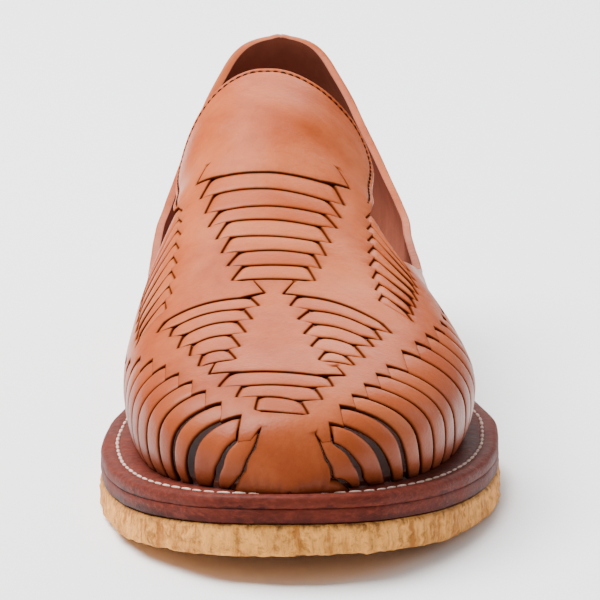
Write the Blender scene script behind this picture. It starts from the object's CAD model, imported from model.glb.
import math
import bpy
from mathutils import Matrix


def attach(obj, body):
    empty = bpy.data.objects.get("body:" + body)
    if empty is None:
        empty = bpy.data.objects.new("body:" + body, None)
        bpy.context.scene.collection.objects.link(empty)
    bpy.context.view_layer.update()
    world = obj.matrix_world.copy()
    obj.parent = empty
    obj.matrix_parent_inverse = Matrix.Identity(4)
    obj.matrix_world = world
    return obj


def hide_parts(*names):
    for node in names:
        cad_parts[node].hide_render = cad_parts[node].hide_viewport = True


bl_info = {
    "name": "Woven leather slip-on",
    "version": (1, 0, 0),
    "blender": (4, 5, 0),
    "location": "3D View > Sidebar > Slip-on",
    "description": "Builds a huarache slip-on from the sections of its last and the plan of its weave",
    "category": "Object",
}

import bpy
import numpy as np
from mathutils import Vector, noise
from mathutils.geometry import delaunay_2d_cdt

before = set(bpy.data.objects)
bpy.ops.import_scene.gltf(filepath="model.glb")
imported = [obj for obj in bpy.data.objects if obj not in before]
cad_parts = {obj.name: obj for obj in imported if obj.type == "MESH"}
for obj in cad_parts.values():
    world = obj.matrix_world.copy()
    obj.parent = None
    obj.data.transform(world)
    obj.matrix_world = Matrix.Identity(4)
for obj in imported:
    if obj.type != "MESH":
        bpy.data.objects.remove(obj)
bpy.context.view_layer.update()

MM = 0.001
LENGTH = 295.0
X_MID = 1.6
TOE_SPRING = 8.0
BALL = 88.0
HEEL_RISE = 7.0
ARCH = (125.0, 215.0)
WELT_TOP = 16.0
UPPER_ENDS = (6.0, 286.0)
TIP_X = {"toe": -3.5, "heel": 1.0}
HEEL_BREAST = 216.0

# Sole outline: s along the shoe, inner x, outer x
SOLE_OUTLINE = np.array([
    (12, -31, 24.5), (24, -39.5, 34), (40, -45.8, 42.5), (60, -49.8, 49.5), (80, -51, 53.2),
    (100, -49.3, 54.2), (120, -45, 51), (140, -39.5, 46.2), (160, -35.8, 42), (180, -34, 39.2),
    (200, -33.4, 37.6), (220, -33.6, 37), (240, -34, 36.5), (260, -32, 34.5), (275, -27, 29.5),
], float)

# Upper: s, inner, outer, ridge x, height, swell, inner power, outer power
SECTIONS = np.array([
    (14, -22.5, 16, -3.5, 17.5, 7, 2.3, 2.3),
    (22, -30, 24, -3.8, 21.5, 9, 2.3, 2.3),
    (32, -35.6, 31.3, -4.2, 25.5, 11, 2.3, 2.2),
    (48, -40.6, 38.5, -5, 30, 12, 2.3, 2.2),
    (65, -43, 43.5, -6, 35, 13, 2.3, 2.1),
    (85, -44, 46.3, -7, 41, 14, 2.3, 1.95),
    (105, -42.5, 44.8, -7, 48.5, 14, 2.3, 1.8),
    (125, -40, 40.5, -6, 57, 15, 2.2, 1.7),
    (145, -37, 37, -5, 65, 16, 2.2, 1.65),
    (165, -34.5, 33.2, -5.5, 71.5, 17, 2.35, 1.95),
    (183, -32.6, 31.2, -5, 75, 18, 2.45, 2.15),
    (200, -32, 32, -3, 77, 19, 1.9, 1.8),
    (225, -31.5, 31.8, -0.5, 78, 20, 1.5, 1.45),
    (250, -30, 30.5, 0.3, 79, 20, 1.45, 1.4),
    (270, -25.5, 26, 0.8, 80, 20, 1.45, 1.4),
], float)

# Collar in side view: s, z
TOPLINE = np.array([
    (143, 46.5), (165, 46.5), (190, 48.5), (215, 55.5), (245, 68), (265, 77.5), (278, 84.2),
    (290, 88),
], float)
# Tongue's edge, s and w, from the middle down the outer side; the inner side mirrors it
TONGUE_EDGE = (
    (181.6, 3), (181.1, 6), (180.2, 9.5), (179.3, 13.1), (178.6, 17), (177.7, 21.5), (176.9, 25.5),
    (175.8, 29.5), (173.8, 33.0), (171, 35.2), (168, 36.6), (165, 37.3), (162, 37.2), (159, 36.7),
    (156, 35.9), (153, 35.0), (150, 34.3), (147, 33.6), (142.5, 32.3), (138.5, 31.1),
)
FRONT_OF_OPENING = ((125, 52), (132, 49.5), (138, 47.8))
# How far the quarter stands out at its top line, along the shoe
FLARE = np.array([(130, 0), (138, 0.6), (150, 1.3), (165, 2.2), (180, 3.1), (190, 2.9),
                  (204, 1.4), (218, 0.2), (230, 0)], float)

# Woven ladders. Each row is a band: the slit at its left end (s, w upper, s, w lower), then the
# slit at its right end. w runs across from the ridge line, minus on the inner side of the foot.
# The first row of a closed ladder is only a cut in the plate.
TOP_LADDER = (
    (143.5, -18.0, 137.8, -21.2, 144.9, 19.2, 137.9, 22.9),
    (135.4, -16.4, 129.1, -19.3, 135.0, 18.1, 127.5, 21.3),
    (127.5, -14.9, 120.4, -17.2, 126.0, 16.5, 120.0, 20.2),
    (118.6, -12.9, 112.9, -15.7, 119.0, 15.4, 114.1, 19.1),
    (112.9, -10.4, 106.2, -13.3, 112.5, 14.4, 106.0, 17.3),
    (106.0, -9.3, 99.5, -12.0, 105.5, 13.8, 99.2, 15.7),
    (98.7, -7.3, 93.3, -10.5, 99.0, 12.2, 92.6, 14.1),
    (92.5, -6.4, 86.3, -9.5, 93.0, 10.4, 86.5, 12.4),
)
OUTER_LADDER = (
    (85.2, 6.8, 78.5, 3.6, None, None, None, None),
    (78.0, 7.2, 72.5, 4.7, 69.9, 28.7, 65.5, 30.8),
    (70.9, 9.6, 65.3, 6.0, 65.1, 26.1, 59.8, 27.5),
    (63.4, 9.9, 57.5, 6.9, 58.9, 23.4, 54.9, 24.9),
    (56.0, 10.7, 50.6, 8.1, 53.6, 19.8, 47.4, 21.9),
    (48.5, 11.7, 42.8, 9.4, 46.9, 16.9, 42.0, 18.7),
)
INNER_LADDER = (
    (None, None, None, None, 85.0, -3.6, 79.0, -1.1),
    (76.6, -28.1, 73.5, -30.6, 77.2, -4.8, 72.4, -2.9),
    (70.9, -25.9, 67.0, -27.2, 71.3, -7.0, 65.2, -5.3),
    (64.1, -23.6, 58.4, -25.5, 65.3, -9.3, 58.5, -7.4),
    (57.5, -21.6, 51.8, -22.7, 58.4, -11.4, 51.2, -9.5),
    (50.5, -19.4, 44.5, -20.9, 50.3, -12.7, 44.4, -11.0),
)
TOE_LADDER = (
    (45.0, -16.1, 38.0, -18.4, 40.1, 13.6, 34.7, 15.5),
    (36.5, -13.1, 30.4, -16.6, 33.1, 11.0, 28.5, 12.2),
    (28.8, -10.7, 24.2, -12.5, 27.0, 7.5, 21.9, 9.1),
    (23.2, -7.0, 18.0, -8.1, 20.5, 3.6, 15.4, 5.1),
)
# Ladder, and how far each line bows towards the toe (minus) or the heel (plus)
LADDERS = (
    (TOP_LADDER, (-3.2, -1.6, -0.9, -0.4, -0.4, 0.4, 0.0, 0.0)),
    (OUTER_LADDER, (2.6, 2.0, 1.8, 1.4, 0.6, 0.2)),
    (INNER_LADDER, (0.6, 1.2, 1.4, 1.2, 0.8, 0.2)),
    (TOE_LADDER, (0.6, 0.6, 0.8, -0.6)),
)
# Side ladders: leg end s, w, wing end s, w of each line, from the opening towards the toe
OUTER_SIDE = (
    (134.3, 30.2, 116.6, 39.1), (127.9, 30.0, 112.2, 40.2), (121.4, 30.0, 107.6, 41.0),
    (114.6, 29.9, 102.6, 41.0), (107.6, 29.7, 97.4, 40.4), (100.6, 29.6, 91.9, 39.4),
    (94.0, 30.0, 86.2, 38.2), (88.0, 30.4, 80.4, 36.9), (82.4, 31.0, 75.6, 36.3),
)
INNER_SIDE = (
    (137.0, -28.7, 122.6, -40.4), (130.5, -27.6, 116.8, -39.8), (124.0, -26.9, 110.8, -39.2),
    (117.1, -26.4, 104.4, -38.6), (110.1, -26.3, 97.8, -38.2), (103.0, -26.5, 91.2, -37.6),
    (95.8, -26.9, 85.2, -37.0), (88.8, -27.8, 80.0, -36.6), (82.6, -29.4, 76.2, -36.4),
)
# Straps down to the welt: s, w of the notch in the plate's edge, s at the welt, bend
OUTER_STRAPS = (
    (130, 56, 141, 1.2), (122, 54, 133, 1.3), (114, 52.5, 125, 1.4), (106, 51, 117, 1.5),
    (98, 49.5, 109, 1.6), (90, 47.5, 101, 1.7), (82, 44.5, 93, 1.9), (74, 41, 85, 2.1),
    (66, 37, 77.5, 2.3), (57.5, 32.4, 69.5, 2.4), (46.4, 27.2, 58.5, 2.6), (39.9, 23.9, 49.5, 2.6),
    (32.5, 20.2, 42, 2.6), (26.1, 16.6, 35.5, 2.6), (20.7, 13.1, 29, 2.3), (13.6, 10.0, 23, 1.6),
)
INNER_STRAPS = (
    (133, -54, 142, 1.2), (125, -52, 134, 1.3), (117, -50.5, 126, 1.4), (109, -49, 118, 1.5),
    (101, -47.5, 110, 1.6), (93, -46, 102, 1.7), (85, -44, 94, 1.8), (77, -41, 86, 1.9),
    (69, -36.5, 77, 2.0), (61, -32.6, 68, 2.0), (53, -29.2, 59.5, 2.0), (45, -26, 51, 2.2),
    (37.6, -22.9, 42, 2.4), (30.5, -19.8, 33, 2.6), (23.7, -16.2, 27.5, 2.4),
    (17.0, -11.5, 21.6, 1.8),
)
# Foremost strap on each side: edge away from the toe piece, edge towards it
OUTER_FRONT_STRAP = (
    ((12.2, 9.9), (9.8, 11.4), (10.1, 16.8), (11.6, 24.0), (16.0, 35.6)),
    ((11.2, 7.0), (7.9, 10.0), (7.75, 13.4), (8.6, 17.6), (12.4, 30.4)),
)
INNER_FRONT_STRAP = (
    ((13.4, -12.2), (10.9, -13.6), (10.9, -18.6), (12.2, -25.0), (15.6, -34.2)),
    ((12.2, -7.2), (8.9, -8.9), (8.1, -12.6), (8.8, -17.8), (12.2, -29.6)),
)
# Toe piece's side, from the notch beside its top corner down to the welt
OUTER_TOE_SIDE = ((9.9, 10.6), (9.3, 8.2), (10.6, 6.4), (7.9, 9.0), (7.5, 12.6), (8.4, 17.0),
                  (9.6, 22.4))
INNER_TOE_SIDE = ((10.6, -13.0), (9.9, -9.4), (11.8, -6.8), (8.9, -8.3), (7.9, -11.8), (8.6, -17.4),
                  (9.4, -21.8))

# Heights from the last's surface, in millimetres
HEM_START, HEM_RINGS = 138.0, (0.8, 1.25, 1.7, 2.15, 2.8)
PLATE_TOP = 0.9
PLATE_LOW = -0.5
BAND_DIVE = 0.42


# Soft dents and swellings of the leather: s, w, reach along, reach across, height
SOFT_FORMS = (
    (151.5, 15.5, 4.5, 6.0, -0.45), (152, -17, 4.5, 6.5, -0.4), (149, 0, 3.5, 13.0, 0.22),
    (160, 9, 6.0, 9.0, 0.25), (163, -13, 7.0, 7.0, -0.25), (171, 22, 6.0, 6.0, -0.2),
    (128, 23.5, 9.0, 2.6, 0.3), (128, -23.0, 9.0, 2.6, 0.3), (104, 21, 8.0, 3.0, 0.25),
    (104, -19.5, 8.0, 3.0, 0.25), (64, -1.5, 8.0, 5.0, 0.3), (90, 20.5, 4.5, 5.0, -0.25),
    (90, -18.5, 4.5, 5.0, -0.25), (13, 0, 3.5, 7.0, 0.35), (9.5, 4.5, 2.0, 3.0, -0.25),
    (262, 60, 12.0, 10.0, 0.3),
    (262, -60, 12.0, 10.0, 0.3),
)


def soft_forms(s, w):
    """Height of the leather's soft dents and swellings at (s, w)."""
    total = np.zeros(np.shape(s))
    for s0, w0, along_s, along_w, height in SOFT_FORMS:
        total += height * np.exp(-((s - s0) / along_s) ** 2 - ((w - w0) / along_w) ** 2)
    return total


def pchip(x, y):
    """Shape-preserving cubic through the points."""
    h, n = np.diff(x), len(x)
    m, d = np.diff(y) / h, np.zeros(n)

    def end(h0, h1, m0, m1):
        v = ((2 * h0 + h1) * m0 - h0 * m1) / (h0 + h1)
        if np.sign(v) != np.sign(m0):
            return 0.0
        return 3 * m0 if np.sign(m0) != np.sign(m1) and abs(v) > 3 * abs(m0) else v

    if n == 2:
        d[:] = m[0]
    else:
        d[0], d[-1] = end(h[0], h[1], m[0], m[1]), end(h[-1], h[-2], m[-1], m[-2])
    for i in range(1, n - 1):
        if m[i - 1] * m[i] > 0:
            w1, w2 = 2 * h[i] + h[i - 1], h[i] + 2 * h[i - 1]
            d[i] = (w1 + w2) / (w1 / m[i - 1] + w2 / m[i])

    def at(v):
        v = np.clip(v, x[0], x[-1])
        i = np.clip(np.searchsorted(x, v, side="right") - 1, 0, n - 2)
        t = (v - x[i]) / h[i]
        k = 1 - t
        return k * k * ((1 + 2 * t) * y[i] + t * h[i] * d[i]) + t * t * (
            (3 - 2 * t) * y[i + 1] - k * h[i] * d[i + 1])

    return at


def smooth(t):
    t = np.clip(t, 0, 1)
    return t * t * (3 - 2 * t)


def tip_round(k, part):
    """0 at a rounded tip, 1 where the table takes over."""
    def arc(t):
        return np.sqrt(np.maximum(0, 1 - (1 - t * part) ** 2))
    return arc(np.clip(k, 0, 1)) / arc(1.0)


def underside(s):
    """Height of the sole's underside, with toe spring, arch and heel seat."""
    toe = np.where(s < BALL, TOE_SPRING * ((BALL - s) / BALL) ** 2, 0.0)
    return toe + HEEL_RISE * smooth((s - ARCH[0]) / (ARCH[1] - ARCH[0]))


class Last:
    """Outer surface of the upper in s along the shoe and w across from the ridge line."""

    def __init__(self):
        self.columns = [pchip(SECTIONS[:, 0], SECTIONS[:, c]) for c in range(1, 8)]
        first, last = SECTIONS[0, 0], SECTIONS[-1, 0]
        toe, heel = UPPER_ENDS
        self.s = np.concatenate([
            toe + (first - toe) * np.linspace(0.02, 1, 40) ** 2, np.arange(first + 1, last, 1.0),
            heel - (heel - last) * np.linspace(1, 0.05, 80) ** 4])
        self.w_step, self.w_count = 0.5, 260
        q = np.concatenate([np.linspace(0, 1, 81), np.linspace(1, 2, 25)[1:]])
        w = np.arange(self.w_count) * self.w_step
        self.table, self.foot = {}, {}
        for side in (-1, 1):
            rows, ends = [], []
            for s in self.s:
                x, a = self.section(np.full(len(q), s), q, np.full(len(q), side))
                d = np.concatenate([[0], np.cumsum(np.hypot(np.diff(x), np.diff(a)))])
                over = np.maximum(w - d[-1], 0) / 10
                rows.append(np.interp(w, d, q) + over)
                ends.append(d[-1])
            self.table[side], self.foot[side] = np.array(rows), np.array(ends)
        ridge = self.place(self.s, np.zeros(len(self.s)))
        self.v = np.concatenate([[0], np.cumsum(np.linalg.norm(np.diff(ridge, axis=0), axis=1))])

    def sizes(self, s):
        inner, outer, ridge, height, swell, p_in, p_out = [c(s) for c in self.columns]
        first, last = SECTIONS[0, 0], SECTIONS[-1, 0]
        k = (s - UPPER_ENDS[0]) / (first - UPPER_ENDS[0])
        front, wide = s < first, tip_round(k, 0.55)
        inner = np.where(front, ridge + (inner - ridge) * wide, inner)
        outer = np.where(front, ridge + (outer - ridge) * wide, outer)
        height = np.where(front, height * tip_round(k, 0.6), height)
        k = np.clip((UPPER_ENDS[1] - s) / (UPPER_ENDS[1] - last), 0, 1)
        back, wide, mid = s > last, tip_round(k, 0.75), TIP_X["heel"]
        inner = np.where(back, mid + (inner - mid) * wide, inner)
        outer = np.where(back, mid + (outer - mid) * wide, outer)
        ridge = np.where(back, mid + (ridge - mid) * k, ridge)
        height = np.where(back, height * np.sqrt(1 - (1 - k) ** 5), height)
        swell = np.where(front | back, np.minimum(swell, 0.42 * height), swell)
        return inner, outer, ridge, height, swell, p_in, p_out

    def section(self, s, q, side):
        inner, outer, ridge, height, swell, p_in, p_out = self.sizes(s)
        edge, power = np.where(side < 0, inner, outer), np.where(side < 0, p_in, p_out)
        pull = 3.0 * np.minimum(1, abs(edge - ridge) / 20) * side
        angle = np.clip(1 - q, 0, 1) * math.pi / 2
        x = ridge + (edge - ridge) * np.cos(angle) ** (2 / power)
        a = swell + (height - swell) * np.sin(angle) ** (2 / power)
        t = np.clip(2 - q, 0, 1)
        low = q > 1
        x = np.where(low, edge - pull * (1 - t) ** 2, x)
        a = np.where(low, t * swell, a)
        return x, np.where(q > 2, -(q - 2) * 10, a)

    def place(self, s, w):
        """Points of the surface, in millimetres."""
        s, w = np.asarray(s, float), np.asarray(w, float)
        i = np.interp(s, self.s, np.arange(len(self.s)))
        j = np.clip(abs(w) / self.w_step, 0, self.w_count - 1.001)
        i0, j0 = np.minimum(i.astype(int), len(self.s) - 2), j.astype(int)
        fi, fj = i - i0, j - j0
        q = np.zeros(s.shape)
        for side in (-1, 1):
            t = self.table[side]
            here = (t[i0, j0] * (1 - fi) * (1 - fj) + t[i0 + 1, j0] * fi * (1 - fj)
                    + t[i0, j0 + 1] * (1 - fi) * fj + t[i0 + 1, j0 + 1] * fi * fj)
            q = np.where(np.where(w < 0, -1, 1) == side, here, q)
        x, a = self.section(s, q, np.where(w < 0, -1, 1))
        t = smooth((s - 235) / 53)
        lean = (3 * (1 - ((25 - np.minimum(a, 25)) / 25) ** 2)
                - 4 * (np.maximum(a - 25, 0) / 35) ** 2) * t
        return np.stack([x - X_MID, s - LENGTH / 2 + lean, underside(s) + WELT_TOP + a], axis=-1)

    def at(self, s, w, h):
        """Points standing h off the surface, in millimetres."""
        low, high = self.s[0], self.s[-1]
        s = np.clip(s, low, high)
        step = 0.5
        along = (self.place(np.clip(s + step, low, high), w)
                 - self.place(np.clip(s - step, low, high), w))
        across = self.place(s, w + step) - self.place(s, w - step)
        normal = np.cross(across, along)
        normal /= np.maximum(np.linalg.norm(normal, axis=-1, keepdims=True), 1e-9)
        return self.place(s, w) + normal * np.asarray(h)[..., None]

    def feather(self, s, side):
        """w of the line where the upper meets the welt."""
        return side * np.interp(s, self.s, self.foot[side])

    def w_at(self, s, z, side):
        """w of the point of the section at s that stands z high."""
        w = np.arange(0, 110, 0.5)
        heights = self.place(np.full(len(w), float(s)), side * w)[:, 2]
        return side * float(np.interp(-z, -heights, w))

    def flat(self, points):
        """(w, v) of (s, w) points, where v is the distance along the ridge line."""
        points = np.asarray(points, float)
        return np.stack([points[:, 1], np.interp(points[:, 0], self.s, self.v)], axis=1)

    def unflat(self, points):
        return np.interp(points[:, 1], self.v, self.s), points[:, 0]


LAST = Last()


def new_piece(name, points, faces, material, slot, values=None, sharp=50, recalc=False):
    """Mesh object at the origin from points in millimetres, riding on the shoe's one body."""
    mesh = bpy.data.meshes.new(name)
    mesh.from_pydata([tuple(p) for p in np.asarray(points) * MM], [], [tuple(f) for f in faces])
    for key, data in (values or {}).items():
        layer = mesh.attributes.new(key, "FLOAT", "POINT")
        layer.data.foreach_set("value", np.asarray(data, dtype=np.float32))
    if recalc:
        import bmesh
        work = bmesh.new()
        work.from_mesh(mesh)
        bmesh.ops.recalc_face_normals(work, faces=work.faces)
        work.to_mesh(mesh)
        work.free()
    mesh.validate()
    mesh.shade_smooth()
    mesh.set_sharp_from_angle(angle=math.radians(sharp))
    mesh.materials.append(material)
    obj = bpy.data.objects.new(name, mesh)
    bpy.context.scene.collection.objects.link(obj)
    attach(obj, "root")
    return obj


class Body:
    """Points, faces and per-point values gathered for one piece."""

    def __init__(self):
        self.points, self.faces, self.values, self.count = [], [], {}, 0

    def add(self, points, faces, **values):
        points = np.asarray(points, float).reshape(-1, 3)
        self.faces += [[i + self.count for i in f] for f in faces]
        self.points.append(points)
        for key, data in values.items():
            data = np.broadcast_to(np.asarray(data, float), (len(points),))
            self.values.setdefault(key, []).append(data)
        self.count += len(points)

    def finish(self, name, material, slot, **options):
        values = {k: np.concatenate(v) for k, v in self.values.items()}
        return new_piece(name, np.concatenate(self.points), self.faces, material, slot,
                         values, **options)


def tube_faces(rows, columns):
    """Faces of a closed tube of rows rings, each of columns points, with end caps."""
    faces = []
    for i in range(rows - 1):
        for j in range(columns):
            k = (j + 1) % columns
            faces.append([i * columns + j, i * columns + k, (i + 1) * columns + k,
                          (i + 1) * columns + j])
    faces.append(list(range(columns))[::-1])
    faces.append([(rows - 1) * columns + j for j in range(columns)])
    return faces


def along(points, t):
    """Smooth curve through (s, w) points at shares t of its length, outside 0 to 1 too."""
    points = np.asarray(points, float)
    flat = LAST.flat(points)
    d = np.concatenate([[0], np.cumsum(np.linalg.norm(np.diff(flat, axis=0), axis=1))])
    d /= d[-1]
    t = np.asarray(t, float)
    out = np.stack([pchip(d, points[:, c])(t) for c in (0, 1)], axis=1)
    before, after = np.minimum(t, 0), np.maximum(t - 1, 0)
    out += before[:, None] * (points[1] - points[0]) / d[1]
    return out + after[:, None] * (points[-1] - points[-2]) / (1 - d[-2])


# Across a band: share of its width, height. Upper edge tucked under the band above
SHINGLE = ((-0.22, -0.3), (-0.06, 0.05), (-0.01, 0.3), (0.04, 0.46), (0.1, 0.58), (0.2, 0.7),
           (0.38, 0.81), (0.6, 0.88), (0.82, 0.9), (0.92, 0.86), (0.975, 0.74), (1.0, 0.5),
           (1.0, 0.2), (0.95, -0.2), (0.75, -0.45), (0.4, -0.6), (0.0, -0.8), (-0.22, -0.9))
# Across a strap with both edges free
CROWN = ((-0.005, 0.1), (0.005, 0.4), (0.04, 0.62), (0.11, 0.76), (0.26, 0.85), (0.5, 0.88),
         (0.74, 0.85), (0.89, 0.76), (0.96, 0.62), (0.995, 0.4), (1.005, 0.1), (0.98, -0.3),
         (0.8, -0.45), (0.5, -0.5), (0.2, -0.45), (0.02, -0.3))


def ribbon(body, upper, lower, rise, profile, tone, crease_ends):
    """Thick ribbon between two edges of (s, w) points, one row of them for each step."""
    rows, count = len(upper), len(profile)
    share = np.array([p[0] for p in profile])
    height = np.array([p[1] for p in profile])
    s = upper[:, 0:1] + (lower[:, 0:1] - upper[:, 0:1]) * share
    w = upper[:, 1:2] + (lower[:, 1:2] - upper[:, 1:2]) * share
    points = LAST.at(s, w, rise[:, None] + height[None, :])
    edge = np.clip(1 - np.minimum(abs(share), abs(1 - share)) / 0.07, 0, 1)
    if profile is SHINGLE:
        edge = np.clip(1 - (share - 0.03) / 0.1, 0, 1) + np.clip((share - 0.96) / 0.04, 0, 1)
    edge = np.clip(edge[None, :] + crease_ends[:, None], 0, 1)
    body.add(points, tube_faces(rows, count), tone=tone, edge=edge.ravel(), flesh=0.0)


def dense(points, step):
    """Closed loop with no side longer than step."""
    out = []
    for a, b in zip(points, np.roll(points, -1, axis=0)):
        n = max(1, int(math.ceil(np.linalg.norm(b - a) / step)))
        out += [a + (b - a) * i / n for i in range(n)]
    return np.array(out)


def inside(points, loops):
    """Whether each point is in the material, with holes left out."""
    result = np.zeros(len(points), bool)
    x, y = points[:, 0], points[:, 1]
    for loop in loops:
        for a, b in zip(loop, np.roll(loop, -1, axis=0)):
            if a[1] != b[1]:
                cross = (y > min(a[1], b[1])) & (y <= max(a[1], b[1]))
                result ^= cross & (x < a[0] + (y - a[1]) * (b[0] - a[0]) / (b[1] - a[1]))
    return result


def edge_distance(points, loops):
    best = np.full(len(points), 1e9)
    for loop in loops:
        for a, b in zip(loop, np.roll(loop, -1, axis=0)):
            ab = b - a
            t = np.clip(((points - a) @ ab) / max(ab @ ab, 1e-12), 0, 1)
            best = np.minimum(best, np.hypot(*(points - a - t[:, None] * ab).T))
    return best


def inset_points(loop, loops, distance):
    """Points a set distance into the material from a loop, where there is room for them."""
    before, after = loop - np.roll(loop, 1, axis=0), np.roll(loop, -1, axis=0) - loop
    def unit(v):
        return v / np.maximum(np.linalg.norm(v, axis=1, keepdims=True), 1e-9)
    middle = unit(unit(before) + unit(after))
    side = np.stack([-middle[:, 1], middle[:, 0]], axis=1)
    cos = np.clip((unit(before) * middle).sum(axis=1), 0.45, 1)
    out = []
    for sign in (-1, 1):
        trial = loop + side * (sign * distance / cos)[:, None]
        good = inside(trial, loops) & (edge_distance(trial, loops) > distance * 0.93)
        out.append(trial[good])
    return np.concatenate(out)


def leather_sheet(name, outline, holes, spacing, lip, material, slot):
    """Sheet of leather over the last, cut to an outline with holes, its upper edge rounded.
    The first hole is the collar, whose edge is folded, thicker and stitched."""
    loops = [dense(LAST.flat(loop), 1.1) for loop in [outline, *holes]]
    collar = loops[1]
    hem_start = float(LAST.flat([(HEM_START, 0)])[0, 1])
    gathered, edges, start = [], [], 0
    for loop in loops:
        n = len(loop)
        edges += [(start + i, start + (i + 1) % n) for i in range(n)]
        gathered.append(loop)
        start += n
    for loop in loops:
        for share in (0.3, 0.65, 1.0):
            gathered.append(inset_points(loop, loops, lip * share))
    for distance in HEM_RINGS:
        ring = inset_points(collar, loops, distance)
        gathered.append(ring[ring[:, 1] > hem_start])
    border = np.concatenate(loops)
    low_corner, high_corner = border.min(axis=0), border.max(axis=0)
    xs = np.arange(low_corner[0], high_corner[0], spacing)
    ys = np.arange(low_corner[1], high_corner[1], spacing * 0.866)
    grid = np.array([(x + (spacing / 2 if i % 2 else 0), y) for i, y in enumerate(ys) for x in xs])
    grid = grid[inside(grid, loops)]
    grid = grid[edge_distance(grid, loops) > lip + spacing * 0.4]
    hem_zone = (edge_distance(grid, [collar]) < HEM_RINGS[-1] + 1.0) & (grid[:, 1] > hem_start)
    gathered.append(grid[~hem_zone])
    made = delaunay_2d_cdt([Vector(p) for p in np.concatenate(gathered)], edges, [], 0, 1e-4, False)
    flat = np.array([tuple(v) for v in made[0]])
    faces = np.array([f for f in made[2] if len(f) == 3])
    faces = faces[inside(flat[faces].mean(axis=1), loops)]
    used = np.unique(faces)
    index = np.full(len(flat), -1)
    index[used] = np.arange(len(used))
    flat, faces = flat[used], index[faces]
    a, b, c = flat[faces[:, 0]], flat[faces[:, 1]], flat[faces[:, 2]]
    turn = (b[:, 0] - a[:, 0]) * (c[:, 1] - a[:, 1]) - (b[:, 1] - a[:, 1]) * (c[:, 0] - a[:, 0])
    faces[turn < 0] = faces[turn < 0][:, ::-1]
    away, fold = edge_distance(flat, loops), edge_distance(flat, [collar])
    s, w = LAST.unflat(flat)
    hem = smooth((s - HEM_START) / 4)
    drop = 0.32 * (1 - np.sqrt(np.clip(1 - (1 - np.clip(away / lip, 0, 1)) ** 2, 0, 1)))
    quarter = np.where(s > 184, 1, smooth((abs(w) - 40) / 4))
    settle = 1.4 * smooth(1 - fold / 30) * smooth((s - 140) / 15)
    flare = smooth(1 - fold / 26) * pchip(FLARE[:, 0], FLARE[:, 1])(s)
    settle = settle * (1 - quarter + quarter * smooth((s - 215) / 35)) - flare * quarter
    groove = np.exp(-((fold - 1.7) / 0.38) ** 2) * hem
    bead = np.exp(-((fold - 0.8) / 0.6) ** 2) * hem
    above = LAST.place(s, w)[:, 2] - underside(s) - WELT_TOP
    toe = 1.7 * smooth(1 - above / 9) * smooth((15 - s) / 5)
    sink = 0.7 * smooth(1 - above / 1.6) * np.maximum(smooth((15 - s) / 5), smooth((s - 280) / 4))
    form = soft_forms(s, w)
    top = PLATE_TOP - settle + 0.22 * bead - 0.3 * groove - drop + toe + form
    low = PLATE_LOW - settle - 0.7 * smooth(1 - fold / 8) * hem
    n = len(flat)
    sides = {(f[i], f[(i + 1) % 3]) for f in faces for i in range(3)}
    walls, rim = [], {}
    for i, j in sides:
        if (j, i) not in sides:
            for k in (i, j):
                rim.setdefault(k, 2 * n + len(rim))
            walls += [[j, i, rim[i], rim[j]], [rim[j], rim[i], i + n, j + n]]
    at_rim = np.array(list(rim))
    points = [LAST.at(s, w, top), LAST.at(s, w, low),
              LAST.at(s[at_rim], w[at_rim], top[at_rim] * 0.25 + low[at_rim] * 0.75)]
    for layer, drawn in zip(points, (sink, sink, sink[at_rim])):
        layer[:, 2] -= drawn
    mark = np.clip(1 - away / 0.6, 0, 1) * (1 - 0.85 * hem * (fold <= away + 0.01))
    mark = np.clip(mark + 0.55 * groove, 0, 1)
    body = Body()
    all_faces = [list(f) for f in faces] + [[f[2] + n, f[1] + n, f[0] + n] for f in faces] + walls
    body.add(np.concatenate(points), all_faces, tone=0.5,
             edge=np.concatenate([mark, mark, mark[at_rim]]),
             flesh=np.concatenate([np.zeros(n), np.ones(n), np.zeros(len(at_rim))]))
    return body.finish(name, material, slot, sharp=60)


def line_points(ladder, bows, k):
    """The line along the top of band k, or under the last band when k is past the end."""
    if k < len(ladder):
        s0, w0, _, _, s1, w1, _, _ = ladder[k]
    else:
        _, _, s0, w0, _, _, s1, w1 = ladder[-1]
    bow = bows[min(k - 1, len(bows) - 1)]
    t = np.linspace(0, 1, 9)
    return np.stack([s0 + (s1 - s0) * t + bow * (1 - (2 * t - 1) ** 2), w0 + (w1 - w0) * t], axis=1)


def window(ladder, bows):
    """Hole in the plate for one ladder, with the cuts beside the uncut first band."""
    left = [p for row in ladder[1:] for p in ((row[0], row[1]), (row[2], row[3]))]
    right = [p for row in ladder[1:] for p in ((row[4], row[5]), (row[6], row[7]))]
    bottom = line_points(ladder, bows, len(ladder))[1:-1] - (0.75, 0)
    top = line_points(ladder, bows, 1)[::-1]
    slit = 0.24
    loop = [*left, *map(tuple, bottom), *right[::-1]]
    s0, w0, s1, w1 = ladder[0][4:]
    if s0 is not None:
        side = 1 if w1 > w0 else -1
        loop += [(s1, w1 + slit * side), (s0, w0), (s1 + 0.4, w1 - slit * side)]
    loop += [tuple(p) for p in top[1:-1]]
    s0, w0, s1, w1 = ladder[0][:4]
    if s0 is not None:
        side = 1 if w1 > w0 else -1
        loop += [(s1 + 0.4, w1 - slit * side), (s0, w0), (s1, w1 + slit * side)]
    return loop


def side_rows(lines):
    """Bands of a side ladder in the same form as the others, with notched ends."""
    rows = []
    for (a_s, a_w, b_s, b_w), (c_s, c_w, d_s, d_w) in zip(lines, lines[1:]):
        side = 1 if a_w > 0 else -1
        leg = (a_s, a_w, c_s + 0.3, c_w - 2.2 * side)
        wing = (b_s + 0.9, b_w - 0.3 * side, d_s + 1.6, d_w + 1.7 * side)
        rows.append((*leg, *wing))
    return rows


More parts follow.
